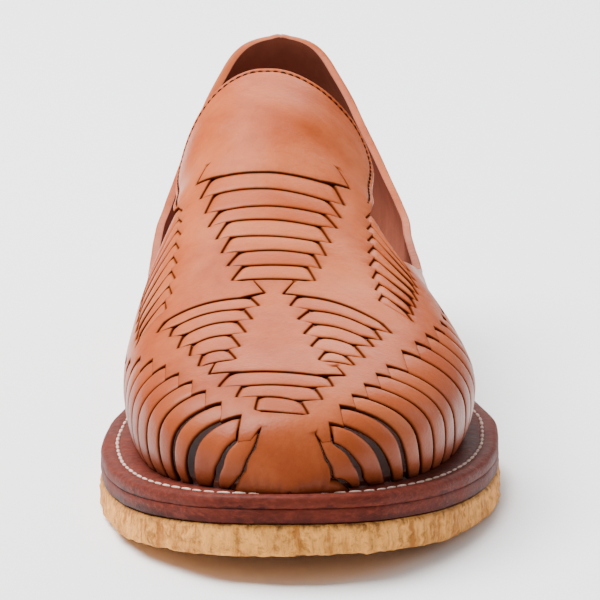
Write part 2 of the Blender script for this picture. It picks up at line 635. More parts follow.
def strap_edges(rows, side):
    """Notch, slit end and line down to the welt for each strap."""
    lines = []
    for s, w, foot, bend in rows:
        t = np.linspace(0, 1, 12)
        foot_w = float(LAST.feather(foot, side))
        lines.append(np.stack([s + (foot - s) * t ** bend, w + (foot_w - w) * t], axis=1))
    return lines


def plate_half(side, side_lines, straps, toe_side):
    """Half of the plate's outline, from the tongue's top round the opening, wing and quarter,
    or the strap notches; returned as the part above the straps and the part round the back."""
    tongue = [(s, w * side) for s, w in TONGUE_EDGE]
    rows = side_rows(side_lines)
    leg = [p for row in rows for p in ((row[0], row[1]), (row[2], row[3]))]
    wing = [p for row in rows for p in ((row[4], row[5]), (row[6], row[7]))]
    front = [(s, LAST.w_at(s, z, side)) for s, z in FRONT_OF_OPENING]
    line = pchip(TOPLINE[:, 0], TOPLINE[:, 1])
    top = []
    for s in np.concatenate([np.arange(143, 276, 4.0), np.arange(276, 285.9, 0.6)]):
        top.append((float(s), LAST.w_at(s, float(line(s)), side)))
    top = [p for p in top if abs(p[1]) > 1.5]
    foot = [(float(s), float(LAST.feather(s, side))) for s in
            np.concatenate([LAST.s[-1] - 16 * np.linspace(0, 1, 30) ** 4,
                            np.arange(266, straps[0][2] + 2, -4.0)])]
    foot.append((straps[0][2], float(LAST.feather(straps[0][2], side))))
    lines = strap_edges(straps, side)
    back = [tuple(p) for p in lines[0][::-1][1:-1]]
    notches = []
    for (s, w, _, _), (s1, w1, _, _) in zip(straps, straps[1:]):
        notches += [(s, w), (s1 + 0.3, w + 0.75 * side)]
    notches.append((straps[-1][0], straps[-1][1]))
    toe = [*toe_side]
    toe += [(float(s), float(LAST.feather(s, side))) for s in
            LAST.s[0] + (toe_side[-1][0] - 3.4) * np.linspace(1, 0, 13) ** 2]
    return [*tongue, *leg, *wing[::-1], *front, *top], [*foot, *back, *notches, *toe]


def socket(tree, name, kind, value, low=None, high=None):
    item = tree.interface.new_socket(name=name, in_out="INPUT", socket_type=kind)
    if value is not None:
        item.default_value = value
    if low is not None:
        item.min_value, item.max_value = low, high
    return item


def bake_nodes(name, tree, inputs, base_mesh):
    """Runs a node tree on a mesh and keeps the result as a plain mesh piece."""
    source = bpy.data.objects.new(name + "_path", base_mesh)
    bpy.context.scene.collection.objects.link(source)
    modifier = source.modifiers.new(name, "NODES")
    modifier.node_group = tree
    for item in tree.interface.items_tree:
        if item.item_type == "SOCKET" and item.in_out == "INPUT" and item.name in inputs:
            modifier[item.identifier] = inputs[item.name]
    bpy.context.view_layer.update()
    graph = bpy.context.evaluated_depsgraph_get()
    mesh = bpy.data.meshes.new_from_object(source.evaluated_get(graph))
    source.modifiers.clear()
    bpy.data.objects.remove(source)
    mesh.name = name
    obj = bpy.data.objects.new(name, mesh)
    bpy.context.scene.collection.objects.link(obj)
    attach(obj, "root")
    return obj


def stitch_tree(name):
    """Stitches laid end to end along a path, each a plump capsule sunk at both ends."""
    tree = bpy.data.node_groups.new(name, "GeometryNodeTree")
    tree.interface.new_socket(name="Geometry", in_out="INPUT", socket_type="NodeSocketGeometry")
    socket(tree, "Pitch", "NodeSocketFloat", 0.004, 0.001, 0.02)
    socket(tree, "Length", "NodeSocketFloat", 0.003, 0.0005, 0.02)
    socket(tree, "Thickness", "NodeSocketFloat", 0.0005, 0.0001, 0.005)
    socket(tree, "Flatness", "NodeSocketFloat", 0.7, 0.1, 1.5)
    socket(tree, "Seed", "NodeSocketInt", 3)
    socket(tree, "Material", "NodeSocketMaterial", None)
    tree.interface.new_socket(name="Geometry", in_out="OUTPUT", socket_type="NodeSocketGeometry")
    add, link = tree.nodes.new, tree.links.new
    given, out = add("NodeGroupInput"), add("NodeGroupOutput")
    to_curve, resample = add("GeometryNodeMeshToCurve"), add("GeometryNodeResampleCurve")
    resample.mode = "LENGTH"
    link(given.outputs["Geometry"], to_curve.inputs["Mesh"])
    link(to_curve.outputs["Curve"], resample.inputs["Curve"])
    link(given.outputs["Pitch"], resample.inputs["Length"])
    ball = add("GeometryNodeMeshUVSphere")
    ball.inputs["Segments"].default_value, ball.inputs["Rings"].default_value = 8, 6
    ball.inputs["Radius"].default_value = 1.0
    scale = add("ShaderNodeCombineXYZ")
    half, flat = add("ShaderNodeMath"), add("ShaderNodeMath")
    half.operation, flat.operation = "MULTIPLY", "MULTIPLY"
    half.inputs[1].default_value = 0.5
    link(given.outputs["Length"], half.inputs[0])
    link(given.outputs["Thickness"], flat.inputs[0])
    link(given.outputs["Flatness"], flat.inputs[1])
    link(given.outputs["Thickness"], scale.inputs[0])
    link(flat.outputs[0], scale.inputs[1])
    link(half.outputs[0], scale.inputs[2])
    shape = add("GeometryNodeTransform")
    link(ball.outputs["Mesh"], shape.inputs["Geometry"])
    link(scale.outputs[0], shape.inputs["Scale"])
    tangent, normal = add("GeometryNodeInputTangent"), add("GeometryNodeInputNamedAttribute")
    normal.data_type = "FLOAT_VECTOR"
    normal.inputs["Name"].default_value = "up"
    align, second = add("FunctionNodeAlignRotationToVector"), add("FunctionNodeAlignRotationToVector")
    align.axis, second.axis, second.pivot_axis = "Z", "Y", "Z"
    link(tangent.outputs[0], align.inputs["Vector"])
    link(align.outputs[0], second.inputs["Rotation"])
    link(normal.outputs["Attribute"], second.inputs["Vector"])
    vary = add("FunctionNodeRandomValue")
    vary.data_type = "FLOAT"
    vary.inputs[2].default_value, vary.inputs[3].default_value = 0.9, 1.08
    link(given.outputs["Seed"], vary.inputs["Seed"])
    place = add("GeometryNodeInstanceOnPoints")
    link(resample.outputs["Curve"], place.inputs["Points"])
    link(shape.outputs["Geometry"], place.inputs["Instance"])
    link(second.outputs[0], place.inputs["Rotation"])
    link(vary.outputs[1], place.inputs["Scale"])
    real, paint, soft = (add("GeometryNodeRealizeInstances"), add("GeometryNodeSetMaterial"),
                         add("GeometryNodeSetShadeSmooth"))
    link(place.outputs["Instances"], real.inputs["Geometry"])
    link(real.outputs["Geometry"], soft.inputs["Geometry"])
    link(soft.outputs["Geometry"], paint.inputs["Geometry"])
    link(given.outputs["Material"], paint.inputs["Material"])
    link(paint.outputs["Geometry"], out.inputs["Geometry"])
    return tree


def path_mesh(name, points, ups):
    """Edge-only mesh through points in millimetres, with the way up at each of them."""
    mesh = bpy.data.meshes.new(name)
    mesh.from_pydata([tuple(p) for p in np.asarray(points) * MM],
                     [(i, i + 1) for i in range(len(points) - 1)], [])
    layer = mesh.attributes.new("up", "FLOAT_VECTOR", "POINT")
    layer.data.foreach_set("vector", np.asarray(ups, dtype=np.float32).ravel())
    return mesh


def linear(rgb):
    return tuple(c / 12.92 if c <= 0.04045 else ((c + 0.055) / 1.055) ** 2.4 for c in rgb)


class Nodes:
    """Short hand for building one material's tree."""

    def __init__(self, name):
        self.material = bpy.data.materials.new(name)
        self.material.use_nodes = True
        self.tree = self.material.node_tree
        self.tree.nodes.clear()
        self.out = self.add("ShaderNodeOutputMaterial")
        self.shader = self.add("ShaderNodeBsdfPrincipled")
        self.link(self.shader.outputs[0], self.out.inputs[0])
        self.coord = self.add("ShaderNodeTexCoord").outputs["Object"]

    def add(self, kind, **settings):
        node = self.tree.nodes.new(kind)
        for key, value in settings.items():
            setattr(node, key, value)
        return node

    def link(self, a, b):
        self.tree.links.new(a, b)

    def noise(self, scale, detail=3.0, rough=0.55, vector=None, distortion=0.0):
        node = self.add("ShaderNodeTexNoise")
        node.inputs["Scale"].default_value = scale
        node.inputs["Detail"].default_value = detail
        node.inputs["Roughness"].default_value = rough
        node.inputs["Distortion"].default_value = distortion
        self.link(vector or self.coord, node.inputs["Vector"])
        return node.outputs["Fac"]

    def cells(self, scale, feature="F1", vector=None):
        node = self.add("ShaderNodeTexVoronoi", feature=feature)
        node.inputs["Scale"].default_value = scale
        self.link(vector or self.coord, node.inputs["Vector"])
        return node.outputs["Distance"]

    def stretch(self, scale, rotation=(0, 0, 0)):
        node = self.add("ShaderNodeMapping")
        node.inputs["Scale"].default_value = scale
        node.inputs["Rotation"].default_value = rotation
        self.link(self.coord, node.inputs["Vector"])
        return node.outputs[0]

    def value(self, name):
        return self.add("ShaderNodeAttribute", attribute_name=name).outputs["Fac"]

    def ramp(self, value, stops):
        node = self.add("ShaderNodeValToRGB")
        elements = node.color_ramp.elements
        while len(elements) < len(stops):
            elements.new(0.5)
        for element, (place, color) in zip(elements, stops):
            element.position = place
            element.color = (*color, 1) if len(color) == 3 else color
        self.link(value, node.inputs[0])
        return node.outputs[0]

    def span(self, value, low, high, to_low=0.0, to_high=1.0):
        node = self.add("ShaderNodeMapRange")
        for key, number in zip(("From Min", "From Max", "To Min", "To Max"),
                               (low, high, to_low, to_high)):
            node.inputs[key].default_value = number
        self.link(value, node.inputs["Value"])
        return node.outputs[0]

    def math(self, kind, a, b):
        node = self.add("ShaderNodeMath", operation=kind)
        for place, item in enumerate((a, b)):
            if isinstance(item, (int, float)):
                node.inputs[place].default_value = item
            else:
                self.link(item, node.inputs[place])
        return node.outputs[0]

    def mix(self, factor, a, b, kind="MIX"):
        node = self.add("ShaderNodeMix", data_type="RGBA", blend_type=kind)
        for place, item in ((0, factor), (6, a), (7, b)):
            if isinstance(item, (int, float)):
                node.inputs[place].default_value = item
            elif isinstance(item, tuple):
                node.inputs[place].default_value = (*item, 1)
            else:
                self.link(item, node.inputs[place])
        return node.outputs[2]

    def bump(self, height, strength, distance, before=None):
        node = self.add("ShaderNodeBump")
        node.inputs["Strength"].default_value = strength
        node.inputs["Distance"].default_value = distance
        self.link(height, node.inputs["Height"])
        if before is not None:
            self.link(before, node.inputs["Normal"])
        return node.outputs[0]

    def done(self, color, roughness, normal, **constants):
        self.link(color, self.shader.inputs["Base Color"])
        if isinstance(roughness, (int, float)):
            self.shader.inputs["Roughness"].default_value = roughness
        else:
            self.link(roughness, self.shader.inputs["Roughness"])
        if normal is not None:
            self.link(normal, self.shader.inputs["Normal"])
        for key, number in constants.items():
            self.shader.inputs[key.replace("_", " ")].default_value = number
        return self.material


def grain_leather(name, tan, warm, pale, dark, flesh):
    """Smooth vegetable-tanned leather: mottled tan, burnished edges, raw flesh side."""
    n = Nodes(name)
    patches = n.ramp(n.noise(30, 5, 0.62, distortion=0.5), ((0.33, warm), (0.5, tan), (0.68, pale)))
    fine = n.span(n.noise(380, 5, 0.72), 0.3, 0.7, 0.86, 1.12)
    color = n.mix(1.0, patches, n.mix(fine, (0.0, 0.0, 0.0), (1.0, 1.0, 1.0)), "MULTIPLY")
    tone = n.value("tone")
    color = n.mix(n.span(tone, 0.5, 1.0, 0.0, 0.6), color, warm)
    color = n.mix(n.span(tone, 0.0, 0.5, 0.35, 0.0), color, pale)
    place = n.add("ShaderNodeSeparateXYZ")
    n.link(n.coord, place.inputs[0])
    low = n.span(place.outputs[2], 0.020, 0.052, 1.0, 0.0)
    front = n.span(place.outputs[1], -0.07, 0.06, 1.0, 0.4)
    burnish = n.math("MULTIPLY", n.math("MULTIPLY", low, front), n.span(n.noise(40, 3), 0.3, 0.7, 0.75, 1.0))
    color = n.mix(burnish, color, (warm[0] * 0.46, warm[1] * 0.58, warm[2] * 1.3))
    edge = n.math("POWER", n.value("edge"), 1.25)
    color = n.mix(n.math("MULTIPLY", edge, 0.9), color, dark)
    inside_color = n.ramp(n.noise(60, 5, 0.65), ((0.3, tuple(c * 0.72 for c in flesh)), (0.7, flesh)))
    side = n.value("flesh")
    color = n.mix(side, color, inside_color)
    rough = n.span(n.noise(90, 4), 0.3, 0.7, 0.3, 0.44)
    rough = n.math("ADD", rough, n.math("MULTIPLY", side, 0.35))
    pores = n.bump(n.cells(1300, "SMOOTH_F1"), 0.16, 0.0003)
    grain = n.bump(n.noise(620, 5, 0.65), 0.22, 0.0004, pores)
    waves = n.bump(n.noise(70, 3), 0.16, 0.0018, grain)
    n.link(n.span(edge, 0.0, 0.6, 0.1, 0.0), n.shader.inputs["Specular IOR Level"])
    return n.done(color, rough, waves)


def edge_leather(name, face, band, low, high):
    """Stacked sole leather: fibrous cut face, with a darker stain between two heights."""
    n = Nodes(name)
    wobble = n.math("MULTIPLY", n.math("SUBTRACT", n.noise(150, 5, 0.68), 0.5), 1.6)
    stain = n.ramp(n.math("ADD", n.value("level"), wobble), ((low, band), (high, face)))
    fibres = n.noise(520, 5, 0.7, n.stretch((1, 1, 2.2)))
    color = n.mix(n.span(fibres, 0.36, 0.62, 0.65, 0.0), stain, band)
    color = n.mix(n.span(fibres, 0.56, 0.74, 0.0, 0.5), color, tuple(min(1, c * 1.9) for c in face))
    blot = n.noise(44, 4, 0.6)
    color = n.mix(n.span(blot, 0.45, 0.7, 0.0, 0.35), color, tuple(min(1, c * 1.5) for c in face))
    normal = n.bump(fibres, 0.35, 0.0006)
    normal = n.bump(n.noise(150, 4), 0.25, 0.0012, normal)
    return n.done(color, n.span(blot, 0.3, 0.7, 0.45, 0.62), normal, Specular_IOR_Level=0.07)


def crepe_rubber(name, pale, tan, deep, stain):
    """Natural crepe: honey rubber with a torn, streaked cut face, stained near the leather."""
    n = Nodes(name)
    blot = n.noise(30, 4, 0.6)
    streak = n.noise(520, 4, 0.62, n.stretch((1, 1, 0.16)), 0.25)
    mixed = n.math("ADD", n.math("MULTIPLY", blot, 0.35), n.math("MULTIPLY", streak, 0.65))
    color = n.ramp(mixed, ((0.4, deep), (0.49, tan), (0.58, pale)))
    pits = n.noise(420, 5, 0.7, distortion=0.4)
    color = n.mix(n.span(pits, 0.36, 0.5, 0.6, 0.0), color, tuple(c * 0.45 for c in deep))
    drip = n.math("ADD", n.value("level"), n.math("MULTIPLY", n.math("SUBTRACT", streak, 0.5), 1.3))
    color = n.mix(n.span(drip, 0.82, 1.1, 0.0, 0.75), color, stain)
    normal = n.bump(pits, 0.6, 0.0016)
    normal = n.bump(streak, 0.5, 0.0012, normal)
    return n.done(color, n.span(pits, 0.3, 0.7, 0.85, 0.62), normal, Specular_IOR_Level=0.15)


def thread(name, color, shade):
    n = Nodes(name)
    twist = n.noise(1400, 2, 0.5, n.stretch((1, 1, 1), (0.6, 0.4, 0.8)))
    return n.done(n.mix(n.span(twist, 0.35, 0.65), shade, color), 0.7,
                  n.bump(twist, 0.5, 0.0002), Specular_IOR_Level=0.05)


def footbed_leather(name, tan, worn):
    n = Nodes(name)
    blot = n.noise(22, 4, 0.6)
    color = n.ramp(blot, ((0.3, worn), (0.65, tan)))
    normal = n.bump(n.noise(650, 4, 0.6), 0.25, 0.0004)
    return n.done(color, n.span(blot, 0.3, 0.7, 0.5, 0.65), normal, Specular_IOR_Level=0.05)


def sole_edge(s, side):
    """x of the sole's outline in table coordinates."""
    first, last = SOLE_OUTLINE[0, 0], SOLE_OUTLINE[-1, 0]
    x = SOLE_CURVES[side](s)
    toe, heel = TIP_X["toe"], TIP_X["heel"]
    x = np.where(s < first, toe + (x - toe) * tip_round(s / first, 0.62), x)
    back = heel + (x - heel) * tip_round((LENGTH - s) / (LENGTH - last), 0.66)
    return np.where(s > last, back, x)


SOLE_CURVES = {-1: pchip(SOLE_OUTLINE[:, 0], SOLE_OUTLINE[:, 1]),
               1: pchip(SOLE_OUTLINE[:, 0], SOLE_OUTLINE[:, 2])}


class Outline:
    """Closed plan outline: points (x, s) from toe round the inner side to heel and back."""

    def __init__(self, step, start=0.0):
        fine = np.concatenate([12 * np.linspace(0, 1, 160) ** 2, np.linspace(12, 275, 1500)[1:],
                               LENGTH - 20 * np.linspace(1, 0, 200)[1:] ** 2])
        fine = fine[fine >= start]
        inner = np.stack([sole_edge(fine, -1), fine], axis=1)
        outer = np.stack([sole_edge(fine, 1), fine], axis=1)
        d = np.concatenate([[0], np.cumsum(np.linalg.norm(np.diff(inner, axis=0), axis=1))])
        count = int(d[-1] / step)
        at = np.linspace(0, d[-1], count)
        self.inner = np.stack([np.interp(at, d, inner[:, c]) for c in (0, 1)], axis=1)
        d = np.concatenate([[0], np.cumsum(np.linalg.norm(np.diff(outer, axis=0), axis=1))])
        at = np.linspace(0, d[-1], count)
        self.outer = np.stack([np.interp(at, d, outer[:, c]) for c in (0, 1)], axis=1)
        self.count = count
        self.loop = np.concatenate([self.inner, self.outer[::-1][1:-1]])
        run = np.roll(self.loop, -2, axis=0) - np.roll(self.loop, 2, axis=0)
        run /= np.linalg.norm(run, axis=1, keepdims=True)
        self.inward = np.stack([run[:, 1], -run[:, 0]], axis=1)
        if start > 0:
            self.inward[0] = self.inward[-1] = (0, 1)

    def ring(self, inset):
        return self.loop + self.inward * inset

    def caps(self, offset, flip):
        """Faces across a ring, joining its inner and outer sides."""
        n = len(self.loop)
        faces = []
        for i in range(self.count - 1):
            a, b = i, i + 1
            c, d = (n - i - 1) % n, (n - i) % n
            quad = [k for k in dict.fromkeys((a, b, c, d))]
            quad = [offset + k for k in (quad[::-1] if flip else quad)]
            if len(quad) > 2:
                faces.append(quad)
        return faces


def sole_layer(name, rings, material, slot, step=1.3, start=0.0, ragged=0.0, flat=False, seed=0):
    """Layer of the sole from rings of (inset, height, roughness), lowest first."""
    outline = Outline(step, start)
    n = len(outline.loop)
    body, faces, points, levels = Body(), [], [], []
    low, high = rings[0][1], max(r[1] for r in rings)
    for inset, height, rough in rings:
        plan = outline.ring(inset)
        base = np.zeros(n) if flat else underside(plan[:, 1])
        z = base + height
        out = np.zeros(n)
        if ragged:
            for i, (x, s) in enumerate(plan):
                p = Vector((x * 0.11 + seed, s * 0.11, height * 0.16))
                out[i] = (noise.noise(p) * 0.5 + noise.noise(p * 3.1) * 0.32
                          + noise.noise(p * 8.3) * 0.2) * ragged * rough
                q = Vector((x * 0.16, s * 0.16 + seed, 7.7))
                fray = noise.noise(q) * 0.5 + noise.noise(q * 3.4) * 0.45
                z[i] += fray * ragged * (0.75 if height <= low + 0.5 else 0.0) * rough
        plan = plan - outline.inward * out[:, None]
        points.append(np.stack([plan[:, 0] - X_MID, plan[:, 1] - LENGTH / 2, z], axis=1))
        levels.append(np.full(n, (height - low) / max(high - low, 1e-6)))
    for r in range(len(rings) - 1):
        for i in range(n):
            j = (i + 1) % n
            faces.append([r * n + i, r * n + j, (r + 1) * n + j, (r + 1) * n + i])
    faces += outline.caps(0, True) + outline.caps((len(rings) - 1) * n, False)
    body.add(np.concatenate(points), faces, level=np.concatenate(levels))
    return body.finish(name, material, slot, sharp=40, recalc=True)


class SHOE_PG_sizes(bpy.types.PropertyGroup):
    """Sizes a maker would change."""
    stitch_pitch: bpy.props.FloatProperty(
        name="Welt stitch pitch", description="From one welt stitch to the next",
        default=0.0042, min=0.002, max=0.01, unit="LENGTH")
    stitch_thickness: bpy.props.FloatProperty(
        name="Thread thickness", description="Half thickness of the welt thread",
        default=0.00048, min=0.0002, max=0.002, unit="LENGTH")
    hem_pitch: bpy.props.FloatProperty(
        name="Tongue stitch pitch", description="From one stitch of the tongue's edge to the next",
        default=0.0021, min=0.001, max=0.01, unit="LENGTH")
    sheet_spacing: bpy.props.FloatProperty(
        name="Mesh spacing", description="Spacing of the leather's mesh, in millimetres",
        default=2.3, min=1.0, max=6.0)
    crepe_roughness: bpy.props.FloatProperty(
        name="Crepe roughness", description="Depth of the torn crepe edge, in millimetres",
        default=1.25, min=0.0, max=3.0)


class SHOE_PG_colors(bpy.types.PropertyGroup):
    """Finishes of the shoe."""
    tan: bpy.props.FloatVectorProperty(
        name="Tan", description="Main colour of the upper", subtype="COLOR", size=3,
        default=linear((0.65, 0.305, 0.14)), min=0, max=1)
    warm: bpy.props.FloatVectorProperty(
        name="Warm tan", description="Deeper patches of the upper", subtype="COLOR", size=3,
        default=linear((0.585, 0.245, 0.09)), min=0, max=1)
    pale: bpy.props.FloatVectorProperty(
        name="Pale tan", description="Lighter patches of the upper", subtype="COLOR", size=3,
        default=linear((0.69, 0.355, 0.195)), min=0, max=1)
    dark: bpy.props.FloatVectorProperty(
        name="Burnish", description="Burnished edges and folds", subtype="COLOR", size=3,
        default=linear((0.13, 0.04, 0.018)), min=0, max=1)
    flesh: bpy.props.FloatVectorProperty(
        name="Inside", description="Inside of the upper", subtype="COLOR", size=3,
        default=linear((0.56, 0.31, 0.235)), min=0, max=1)
    welt: bpy.props.FloatVectorProperty(
        name="Welt", description="Welt and midsole leather", subtype="COLOR", size=3,
        default=linear((0.37, 0.15, 0.106)), min=0, max=1)
    stain: bpy.props.FloatVectorProperty(
        name="Stain", description="Dark band at the crepe joint", subtype="COLOR", size=3,
        default=linear((0.20, 0.075, 0.06)), min=0, max=1)
    crepe: bpy.props.FloatVectorProperty(
        name="Crepe", description="Natural crepe rubber", subtype="COLOR", size=3,
        default=linear((0.84, 0.575, 0.275)), min=0, max=1)
    thread: bpy.props.FloatVectorProperty(
        name="Thread", description="Welt thread", subtype="COLOR", size=3,
        default=linear((0.84, 0.72, 0.66)), min=0, max=1)


def settings():
    return bpy.context.scene.slip_on_sizes, bpy.context.scene.slip_on_colors


def upper_leather():
    made = bpy.data.materials.get("tan_leather")
    if made is None:
        _, c = settings()
        made = grain_leather("tan_leather", tuple(c.tan), tuple(c.warm), tuple(c.pale),
                             tuple(c.dark), tuple(c.flesh))
    return made


class SHOE_OT_outsole(bpy.types.Operator):
    """Crepe outsole with its torn edge"""
    bl_idname = "slip_on.outsole"
    bl_label = "Outsole"

    def execute(self, context):
        sizes, colors = settings()
        crepe = tuple(colors.crepe)
        material = crepe_rubber("crepe", tuple(min(1, c * 1.25) for c in crepe), crepe,
                                (crepe[0] * 0.6, crepe[1] * 0.48, crepe[2] * 0.36),
                                tuple(colors.stain))
        rings = [(2.2, 0.0, 0.3), (0.7, 0.0, 0.8), (0.1, 0.7, 1.0), (-0.1, 1.8, 1.0),
                 (0.15, 3.0, 1.0), (-0.05, 4.2, 1.0), (0.2, 5.4, 0.9), (0.1, 6.6, 0.8),
                 (0.3, 7.4, 0.5), (0.8, 7.95, 0.2), (3.0, 7.95, 0.0)]
        obj = sole_layer("outsole", rings, material, "crepe", 1.1,
                         ragged=sizes.crepe_roughness, seed=3)
        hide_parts("outsole")
        heel = [(2.6, 0.0, 0.3), (0.9, 0.0, 0.8), (0.5, 0.8, 1.0), (0.4, 2.2, 1.0),
                (0.5, 3.6, 1.0), (0.4, 5.2, 0.9), (0.6, 6.4, 0.6), (1.2, 6.9, 0.2), (3.0, 6.9, 0)]
        obj = sole_layer("heel_lift", heel, material, "crepe_heel", 1.2, HEEL_BREAST,
                         sizes.crepe_roughness, True, 11)
        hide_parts("heel_lift")
        return {"FINISHED"}


class SHOE_OT_welt(bpy.types.Operator):
    """Midsole, welt and the lock stitch round it"""
    bl_idname = "slip_on.welt"
    bl_label = "Midsole and welt"

    def execute(self, context):
        sizes, colors = settings()
        face, stain = tuple(colors.welt), tuple(colors.stain)
        rings = [(4.0, 8.15, 0), (1.1, 8.15, 0.3), (0.35, 8.5, 1), (0.15, 9.4, 1), (0.2, 10.6, 1),
                 (0.22, 11.6, 0.7), (0.5, 11.97, 0.2), (4.0, 12.0, 0)]
        obj = sole_layer("midsole", rings, edge_leather("midsole_leather", face, stain, 0.2, 0.55),
                         "midsole_leather", 1.6, ragged=0.3, seed=5)
        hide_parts("midsole")
        rings = [(4.0, 12.05, 0), (0.5, 12.07, 0.2), (0.25, 12.4, 0.7), (0.15, 13.2, 1),
                 (0.25, 14.1, 1), (0.55, 14.8, 0.7), (1.1, 15.25, 0.4), (2.0, 15.55, 0),
                 (3.2, 15.65, 0), (4.0, 15.5, 0), (4.6, 15.45, 0), (5.2, 15.7, 0), (6.2, 16.0, 0),
                 (13.0, 16.0, 0)]
        obj = sole_layer("welt", rings, edge_leather("welt_leather", face, stain, 0.0, 0.02),
                         "welt_leather", 1.5, ragged=0.22, seed=9)
        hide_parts("welt")
        outline = Outline(1.5)
        plan = outline.ring(4.5)
        points = np.stack([plan[:, 0] - X_MID, plan[:, 1] - LENGTH / 2,
                           underside(plan[:, 1]) + WELT_TOP - 0.42], axis=1)
        points = np.concatenate([points, points[:1]])
        path = path_mesh("welt_path", points, np.tile((0, 0, 1), (len(points), 1)))
        material = thread("welt_thread", tuple(colors.thread),
                          tuple(c * 0.6 for c in colors.thread))
        bake_nodes("welt_stitches", stitch_tree("Welt stitches"), {
            "Pitch": sizes.stitch_pitch, "Length": sizes.stitch_pitch * 0.86,
            "Thickness": sizes.stitch_thickness, "Flatness": 0.75, "Seed": 3,
            "Material": material}, path)
        return {"FINISHED"}


class SHOE_OT_insole(bpy.types.Operator):
    """Leather footbed"""
    bl_idname = "slip_on.insole"
    bl_label = "Insole"

    def execute(self, context):
        _, colors = settings()
        tan = tuple(colors.flesh)
        material = footbed_leather("footbed_leather", tan, tuple(c * 0.6 for c in tan))
        s = np.concatenate([9.6 + 6 * np.linspace(0, 1, 14) ** 2, np.arange(18, 268, 3.0),
                            282.4 - 14 * np.linspace(1, 0, 16) ** 2])
        rows = []
        for side in (-1, 1):
            edge = LAST.place(s, LAST.feather(s, side))
            edge[:, 0] -= side * 3.2
            rows.append(edge)
        inner, outer = rows
        body, n = Body(), 9
        points, faces = [], []
        for height in (12.2, 17.0):
            for i in range(len(s)):
                t = np.linspace(0, 1, n)
                x = inner[i, 0] + (outer[i, 0] - inner[i, 0]) * t
                if inner[i, 0] > outer[i, 0]:
                    x = np.full(n, (inner[i, 0] + outer[i, 0]) / 2)
                dip = 0.5 * np.sin(math.pi * t) * (height > 15)
                points.append(np.stack([x, np.full(n, s[i] - LENGTH / 2),
                                        underside(s[i]) + height - dip], axis=1))
        m = len(s)
        for layer in (0, 1):
            for i in range(m - 1):
                for j in range(n - 1):
                    a = (layer * m + i) * n + j
                    faces.append([a, a + 1, a + n + 1, a + n])
        for i in range(m - 1):
            for j in (0, n - 1):
                a, b = i * n + j, (m + i) * n + j
                faces.append([a, a + n, b + n, b])
        for i in (0, m - 1):
            for j in range(n - 1):
                a, b = i * n + j, (m + i) * n + j
                faces.append([a, a + 1, b + 1, b])
        body.add(np.concatenate(points), faces)
        obj = body.finish("insole", material, "footbed_leather", recalc=True)
        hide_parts("insole")
        return {"FINISHED"}


class SHOE_OT_upper(bpy.types.Operator):
    """Plate of the upper: tongue, legs, wings, quarter and toe piece, cut for the weave"""
    bl_idname = "slip_on.upper"
    bl_label = "Upper"

    def execute(self, context):
        sizes, _ = settings()
        right_top, right_low = plate_half(1, OUTER_SIDE, OUTER_STRAPS, OUTER_TOE_SIDE)
        left_top, left_low = plate_half(-1, INNER_SIDE, INNER_STRAPS, INNER_TOE_SIDE)
        line = pchip(TOPLINE[:, 0], TOPLINE[:, 1])
        back = np.arange(276, 286, 0.05)
        height = LAST.place(back, back * 0)[:, 2]
        collar = [*right_top, (float(back[height > line(back)][-1]), 0.0), *left_top[::-1]]
        ring = [*right_low, *left_low[::-1]]
        holes = [collar] + [window(ladder, bows) for ladder, bows in LADDERS]
        obj = leather_sheet("upper", ring, holes, sizes.sheet_spacing, 0.45,
                            upper_leather(), "upper_leather")
        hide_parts("upper")
        self.hem_stitches(collar, sizes)
        return {"FINISHED"}

    @staticmethod
    def hem_stitches(collar, sizes):
        """Row of stitches in the groove beside the tongue's edge."""
        right = np.array([(s, w) for s, w in TONGUE_EDGE], float)
        edge = np.concatenate([right[::-1] * (1, -1), right])
        flat = LAST.flat(edge)
        fine = np.linspace(0, len(flat) - 1, 400)
        flat = np.stack([np.interp(fine, np.arange(len(flat)), flat[:, c]) for c in (0, 1)], axis=1)
        run = np.gradient(flat, axis=0)
        run /= np.linalg.norm(run, axis=1, keepdims=True)
        flat = flat + np.stack([run[:, 1], -run[:, 0]], axis=1) * 1.7
        s, w = LAST.unflat(flat)
        rise = PLATE_TOP - 1.4 * smooth(1 - 1.7 / 30) * smooth((s - 140) / 15) - 0.14
        points = LAST.at(s, w, rise)
        ups = LAST.at(s, w, rise + 1) - points
        material = thread("hem_thread", linear((0.22, 0.075, 0.03)), linear((0.09, 0.03, 0.01)))
        bake_nodes("hem_stitches", stitch_tree("Hem stitches"), {
            "Pitch": sizes.hem_pitch, "Length": sizes.hem_pitch * 0.7, "Thickness": 0.00042,
            "Flatness": 0.8, "Seed": 5, "Material": material},
            path_mesh("hem_path", points, ups))


